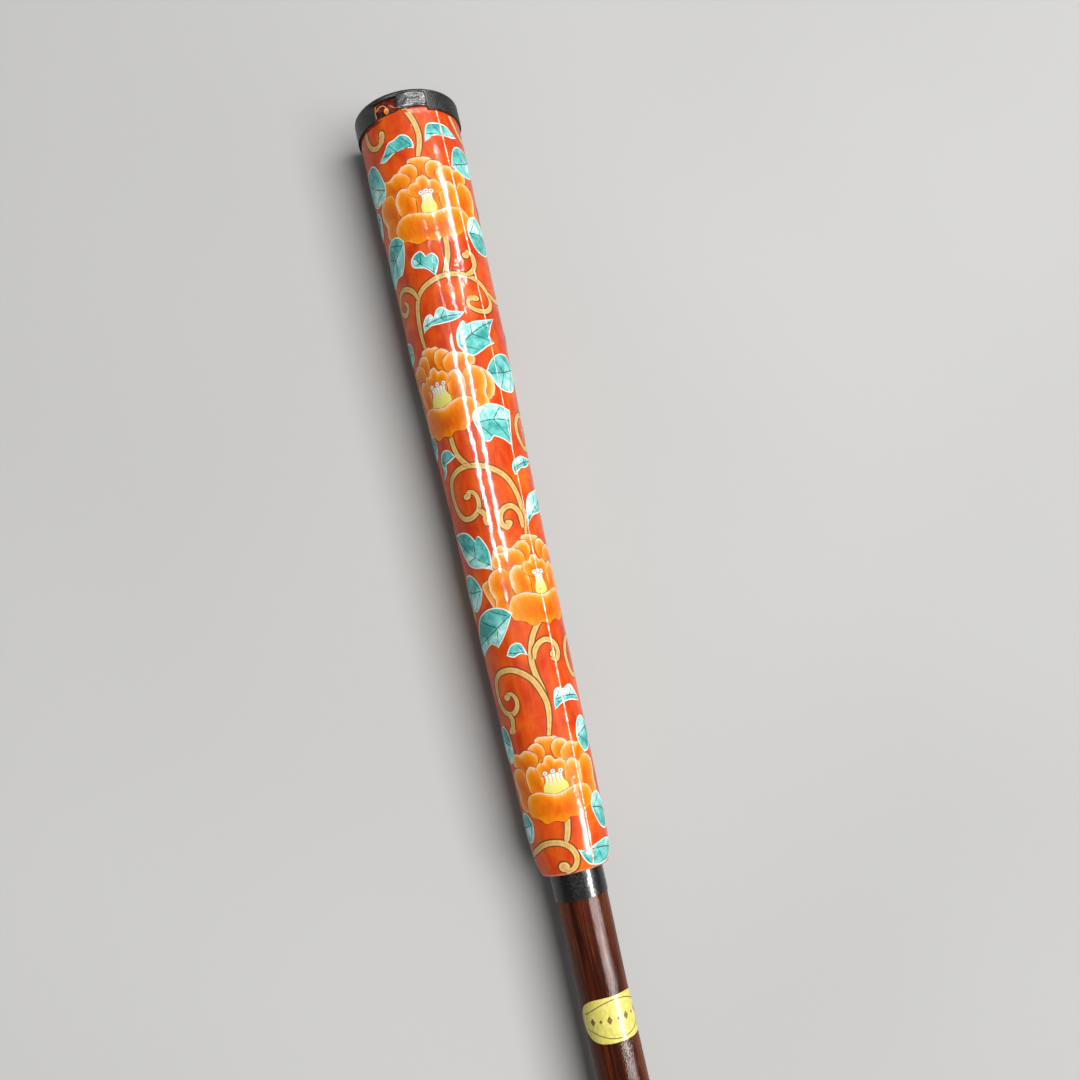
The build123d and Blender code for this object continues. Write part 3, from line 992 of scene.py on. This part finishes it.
def build_seam(end):
    """The bead along the skin's joint, thin and slightly uneven; its whitish, broken colour is a painted
    highlight along the ridge.
    """
    rng = np.random.default_rng(7)
    reaches = np.arange(0.9, 241.6, 0.6)
    width = 0.26 + 0.06 * np.sin(reaches * 0.9) + 0.05 * rng.standard_normal(len(reaches))
    thinner = np.interp(reaches, [0, 48, 62, 130, 152, 242], [1, 1, 0.6, 0.55, 1, 1])
    width = np.clip(width * thinner, 0.09, 0.42)
    sway = np.convolve(rng.standard_normal(len(reaches) + 8) * 0.06, np.ones(9) / 9, "valid")
    section = ((-1, -0.3), (-1, 0.13), (-0.6, 0.17), (0, 0.185), (0.6, 0.17), (1, 0.13), (1, -0.3))
    verts, n = [], len(section)
    for reach, half, off in zip(reaches, width, sway):
        centre = seam_path(reach) + off / degree_mm(reach)
        for s, lift in section:
            verts.append(grip_point(end, centre + s * half / degree_mm(reach), reach, lift))
    faces = ring_faces(len(reaches), n)
    faces += [tuple(reversed(range(n))), tuple((len(reaches) - 1) * n + k for k in range(n))]
    obj = make_object(f"seam_line_{end}", verts, faces, INKS["seam"])
    return add_piece(obj, "seam_bead", f"sleeve_seam_{end}")


def build_window(end):
    """What shows through the cap's window: the print under the cap, darkened as painted shade, with a gold
    arc and a peach dot on it, and beside the window a dark band below the cap's rim that is a painted shadow.
    """
    dark, gold, dot = Print(), Print(), Print()
    rows, values = [], []
    # Past the window (angles below -46) the sheet is a painted shadow band below the cap's rim; inside it,
    # tone turns the print's red and teal dark as painted shade.
    for a in np.linspace(-96, -18.3, 40):
        low = float(np.interp(a, [-96, -46, -30, -18], [1.6, 1.9, 1.0, 0.4])) + 0.12 * math.sin(0.7 * a)
        top = -4.35 if a > -46 else 0.6
        reaches = np.linspace(top, low, 14)
        rows.append([(a, u, 0.03) for u in reaches])
        tones = [np.clip((u + 1.3) / 1.6 + 0.5 * math.sin(0.25 * a + 4), 0, 1) for u in reaches]
        values.append([(tone, 0, 0, 0) for tone in tones])
    dark.sheet(rows, values)
    vine(gold, [(-45.2, 0.2), (-45.5, -1.6), (-44.4, -3.1), (-42.4, -4.1)], 0.4, lift=0.05)
    vine(dot, [(-43.6, -2.2), (-40, -3), (-36, -3.2), (-32.6, -2.7), (-30.6, -1.9)], 0.6, lift=0.054)
    vine(dot, [(-27, -2.4), (-24, -1.7), (-21.4, -1), (-18.6, -0.8)], 0.5, lift=0.054)
    round_dot = [
        (-34.4, -1.1), (-33.2, -1.8), (-31.2, -2), (-29.2, -1.6), (-28.6, -0.8), (-29.6, 0), (-31.6, 0.3),
        (-33.6, -0.2),
    ]
    petal(dot, round_dot, (0, -1), lambda x, y: (x, y), 0.06)
    dark.lay(f"window_print_and_shadow_{end}", end, INKS["under"], "printed_film")
    gold.lay(f"window_gold_{end}", end, INKS["vine"], "printed_film")
    dot.lay(f"window_dot_{end}", end, INKS["petal"], "printed_film")


def build_tab(end):
    """The glossy tab: a thin pillow with rounded corners and creases, bonded to the cap's wall."""
    radius, height, corner, across = 17.29, 0.38, 1.3, math.radians(1) * 17.3
    middle, wide, tall = (-1.5, 3.6), 33 / 2 * across, 2.6
    edge = []
    for k, (sx, sy) in enumerate(((1, 1), (-1, 1), (-1, -1), (1, -1))):
        for a in np.linspace(0, math.pi / 2, 7):
            turn = a + k * math.pi / 2
            x = sx * (wide - corner) + corner * math.cos(turn)
            edge.append((x, sy * (tall - corner) + corner * math.sin(turn)))
    edge = through(edge, closed=True, gap=0.5)
    verts = []
    shares = [0, 0, 0.06, 0.14, 0.25, 0.4, 0.55, 0.7, 0.85, 0.97]
    side = ENDS[end]
    for k, share in enumerate(shares):
        for x, y in edge:
            target = (np.clip(x, -wide + 2.6, wide - 2.6), 0)
            px, py = x + (target[0] - x) * share, y + (target[1] - y) * share
            inward = min(share / 0.3, 1)
            creases = 2 + math.sin(1.9 * px + 2.2 * py) + math.sin(3.1 * py - 1.1 * px)
            rise = height * (1 - (1 - inward) ** 2) - 0.035 * creases * inward
            lift = -0.25 if k == 0 else max(rise, 0)
            angle, depth = math.radians(middle[0]) + px / radius, middle[1] + py
            verts.append((side * (depth - HALF_LENGTH) * MM, side * (radius + lift) * math.sin(angle) * MM,
                          (radius + lift) * math.cos(angle) * MM))
    faces = ring_faces(len(shares), len(edge))
    obj = make_object(f"tab_pillow_{end}", verts, outward(verts, faces), INKS["tab"])
    add_piece(obj, "tab_vinyl", f"cap_tab_{end}")


def build_label():
    """A plain printed border and a row of lozenges on the gold label."""
    rod_radius, thickness = 7.6, 0.12
    depth, turn, wide, reach = 291.6, 8.0, 6.4, 8.6
    margin, half_line, lift, plain = 1.0, 0.16, 0.02, (0, 0, 0, 0)

    def rod_point(end, angle, along, lift):
        a = math.radians(angle)
        r = rod_radius + thickness + lift
        return (depth - HALF_LENGTH + along) * MM, r * math.sin(a) * MM, r * math.cos(a) * MM

    marks = Print()
    for side in (-1, 1):
        rows = [[], []]
        for a in np.linspace(-80, 80, 65):
            half = wide * math.sqrt(1 - (rod_radius * math.sin(math.radians(a)) / reach) ** 2) - margin
            for row, off in zip(rows, (-half_line, half_line)):
                row.append((turn + a, side * (half + off), lift))
        marks.sheet(rows, [[plain] * len(rows[0])] * 2)
    for k in range(-3, 4):
        a, wide_by, tall_by = turn + 20 * k, (6.5 if k % 2 else 3.6), (1.25 if k % 2 else 0.65)
        corners = np.linspace(0, 2 * math.pi, 5)[:4]
        outer = [(a + wide_by * math.cos(q), tall_by * math.sin(q), lift) for q in corners]
        inner = [(a + (x - a) * 0.02, y * 0.02, lift) for x, y, _ in outer]
        marks.sheet([outer, inner], [[plain] * 4] * 2, closed=True)
    marks.lay("label_marks", "a", INKS["label_ink"], "label_paper", surface=rod_point)


for end_name in ENDS:
    build_sleeve(end_name)
    build_seam(end_name)
    build_print(end_name)
    build_window(end_name)
    build_tab(end_name)
build_label()

FINISHES = {"rod": "wood", "label_band": "label"}
for end_name in ENDS:
    for piece, ink in (("end_cap", "rubber"), ("grip_core", "core"), ("grip_tape", "tape"),
                       ("tip_collar", "collar")):
        FINISHES[f"{piece}_{end_name}"] = ink
for node_name, ink in FINISHES.items():
    nodes[node_name].data.materials.clear()
    nodes[node_name].data.materials.append(INKS[ink])


# ---------------------------------------------------------------- floor, lights and camera

FLOOR_REACH = 4.0
floor_corners = [(x * FLOOR_REACH, y * FLOOR_REACH, FLOOR_Z) for x, y in ((-1, -1), (1, -1), (1, 1), (-1, 1))]
floor = make_object("floor", floor_corners, [(0, 1, 2, 3)], pale_floor())


def lamp(name, place, target, size, watts, soft=False, along=(1, 0, 0)):
    """A rectangular light that faces a target. A soft one lights surfaces, any other only their gloss."""
    data = bpy.data.lights.new(name, "AREA")
    data.shape = "RECTANGLE"
    data.size, data.size_y = size
    data.energy = watts
    obj = bpy.data.objects.new(name, data)
    bpy.context.scene.collection.objects.link(obj)
    obj.visible_glossy, obj.visible_diffuse = not soft, soft
    back = (Vector(place) - Vector(target)).normalized()
    along = Vector(along)
    along = (along - back * back.dot(along)).normalized()
    facing = Matrix((along, back.cross(along), back)).transposed().to_4x4()
    obj.matrix_world = Matrix.Translation(place) @ facing


def overhead(angle, distance, x):
    """A place at an angle from straight up, seen from the stick, at a distance, and at x along it."""
    return (x, distance * math.sin(math.radians(angle)), distance * math.cos(math.radians(angle)))


def tube(name, start, stop, width, watts):
    """A long lamp a metre over the stick, between two (angle, x) places."""
    a, b = (Vector(overhead(angle, 1.0, x)) for angle, x in (start, stop))
    middle = (a + b) / 2
    lamp(name, middle, (middle.x, 0, 0), ((b - a).length, width), watts, along=b - a)


lamp("key", overhead(20, 1.8, -0.1), (-0.2, 0, 0), (1.5, 1.5), 57, True)
lamp("window", overhead(40, 1.0, -0.708), (-0.29, 0, 0), (0.115, 0.17), 4.5)
lamp("window_low", overhead(38, 1.0, 0.24), (-0.05, 0, 0), (0.34, 0.22), 22)
lamp("panel", overhead(22, 1.0, -1.06), (-0.32, 0, 0), (0.12, 1.0), 12)
tube("tube_left", (-21.5, -0.524), (-33, -0.238), 0.065, 10)
tube("tube_right", (6.5, -0.51), (-10.5, -0.26), 0.065, 10)
tube("gleam_1", (3.75, -0.648), (2.75, -0.612), 0.18, 2.2)
tube("gleam_2", (27.5, -0.64), (27.5, -0.625), 0.12, 1.0)
tube("gleam_3", (27.5, -0.6525), (27.5, -0.6465), 0.22, 0.6)
tube("gleam_4", (-22, -0.65), (-22, -0.61), 0.05, 0.5)

world = bpy.data.worlds.new("studio")
bpy.context.scene.world = world
world.use_nodes = True
sky = world.node_tree.nodes["Background"].inputs
sky["Color"].default_value = (0.9, 0.93, 0.97, 1)
sky["Strength"].default_value = 0.18

CAMERA_PLACE = (-0.1361, -0.0663, 0.3187)
CAMERA_RIGHT = (0.2233, 0.9527, 0.2063)
CAMERA_UP = (-0.9669, 0.1896, 0.1709)
camera_data = bpy.data.cameras.new("camera")
camera_data.lens = 34.57
camera_data.sensor_width = 36.0
camera_data.clip_start = 0.01
camera = bpy.data.objects.new("camera", camera_data)
bpy.context.scene.collection.objects.link(camera)
camera_right = Vector(CAMERA_RIGHT).normalized()
camera_back = camera_right.cross(Vector(CAMERA_UP)).normalized()
camera_up = camera_back.cross(camera_right)
camera.matrix_world = (Matrix.Translation(CAMERA_PLACE)
                       @ Matrix((camera_right, camera_up, camera_back)).transposed().to_4x4())
bpy.context.scene.camera = camera
bpy.context.scene.view_settings.view_transform = "Standard"
